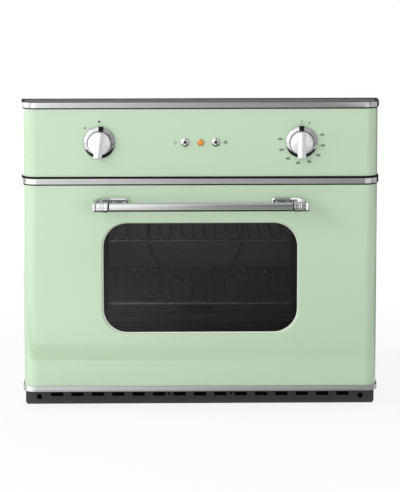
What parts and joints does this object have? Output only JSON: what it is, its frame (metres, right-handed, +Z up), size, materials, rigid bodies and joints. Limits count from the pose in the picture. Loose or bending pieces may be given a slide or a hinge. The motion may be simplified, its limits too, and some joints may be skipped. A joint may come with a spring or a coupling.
{
  "type": "built-in electric oven",
  "caption": "Built-in electric wall oven with a drop-down windowed door, bar handle, two knobs, toggle switches, wire racks and a vent grille.",
  "frame": {"origin": "middle of the width, on the shelf, in the plane of the cabinet's face", "axes": "+X to the right seen from the front, +Y into the cabinet, +Z up"},
  "size_m": [0.759, 0.7164, 0.66],
  "materials": {
    "paint": "gloss paint",
    "chrome": "bright plated",
    "galvanised": "galvanised sheet",
    "enamel": "speckled vitreous enamel",
    "wool": "glass wool",
    "wire": "nickel-plated wire",
    "element": "dark heating tube",
    "steel": "plain steel",
    "ceramic": "ceramic",
    "bulb_glass": "clear",
    "dark_glass": "tinted",
    "seal": "woven glass fibre",
    "black_plastic": "moulded",
    "grille_black": "satin black",
    "amber": "translucent"
  },
  "bodies": {
    "case": {"base_pan": "galvanised", "side_panel_left": "galvanised", "side_panel_right": "galvanised", "back_panel": "galvanised", "top_cover": "galvanised", "front_frame": "enamel", "cavity": "enamel", "cavity_insulation": "wool", "rack_guides": "wire", "broil_element": "element", "bake_element": "element", "fan_cover": "enamel", "fan_motor": "steel", "lamp_holder": "ceramic", "lamp_bulb": "bulb_glass", "lamp_lens": "bulb_glass", "temperature_probe": "steel", "door_gasket": "seal", "hinge_arms": "steel", "hinge_receivers": "galvanised", "junction_box": "galvanised", "cooling_scroll": "galvanised", "cooling_motor": "steel", "control_panel": "paint", "top_trim": "chrome", "top_plate": "chrome", "control_tray": "galvanised", "thermostat": "black_plastic", "function_selector": "ceramic", "toggle_switches": "black_plastic", "switch_bezels": "chrome", "pilot_lamp": "chrome", "pilot_lens": "amber", "bottom_grille": "grille_black", "grille_screws": "chrome"},
    "door": {"door_skin": "paint", "door_top_trim": "chrome", "door_bottom_trim": "chrome", "outer_glass": "dark_glass", "window_frame": "galvanised", "inner_glass": "bulb_glass", "door_liner": "enamel", "door_insulation": "wool", "handle_bar": "chrome", "handle_ends": "chrome", "handle_screws": "chrome", "hinge_cassettes": "galvanised", "hinge_pins": "steel", "door_springs": "steel"},
    "rack_lower": {"lower_rack": "wire"},
    "rack_upper": {"upper_rack": "wire"},
    "left_control": {"knob_left": "chrome", "thermostat_shaft": "steel"},
    "right_control": {"knob_right": "chrome", "selector_shaft": "steel"},
    "light_toggle": {"light_lever": "chrome"},
    "fan_toggle": {"fan_lever": "chrome"},
    "oven_fan": {"convection_fan": "steel", "fan_shaft": "steel"},
    "cooling_fan": {"cooling_wheel": "steel"}
  },
  "joints": [
    {"name": "door_hinge", "type": "hinge", "parent": "case", "child": "door", "pos_m": [0, -0.038, 0.046], "axis": [1, 0, 0], "range_deg": [0, 90], "stiffness_Nm_per_rad": 10, "springref_deg": -22.92},
    {"name": "lower_rack_slide", "type": "slide", "parent": "case", "child": "rack_lower", "axis": [0, -1, 0], "range_m": [0, 0.2905]},
    {"name": "upper_rack_slide", "type": "slide", "parent": "case", "child": "rack_upper", "axis": [0, -1, 0], "range_m": [0, 0.2905]},
    {"name": "left_knob_turn", "type": "hinge", "parent": "case", "child": "left_control", "pos_m": [-0.214, -0.085, 0.575], "axis": [0, 1, 0], "range_deg": [-7, 308]},
    {"name": "right_knob_turn", "type": "hinge", "parent": "case", "child": "right_control", "pos_m": [0.214, -0.085, 0.575], "axis": [0, 1, 0], "range_deg": [0, 280]},
    {"name": "light_switch_flip", "type": "hinge", "parent": "case", "child": "light_toggle", "pos_m": [-0.0325, -0.074, 0.575], "axis": [-1, 0, 0], "range_deg": [0, 26]},
    {"name": "fan_switch_flip", "type": "hinge", "parent": "case", "child": "fan_toggle", "pos_m": [0.0325, -0.074, 0.575], "axis": [-1, 0, 0], "range_deg": [0, 26]},
    {"name": "convection_fan_spin", "type": "hinge", "parent": "case", "child": "oven_fan", "pos_m": [0, 0.49, 0.2875], "axis": [0, 1, 0], "continuous": true},
    {"name": "cooling_fan_spin", "type": "hinge", "parent": "case", "child": "cooling_fan", "pos_m": [0, 0.395, 0.5331], "axis": [1, 0, 0], "continuous": true}
  ],
  "couplings": [
    {"joint": "lower_rack_slide", "follows": "door_hinge", "m_per_rad": 0.18462},
    {"joint": "upper_rack_slide", "follows": "door_hinge", "m_per_rad": 0.18462}
  ]
}
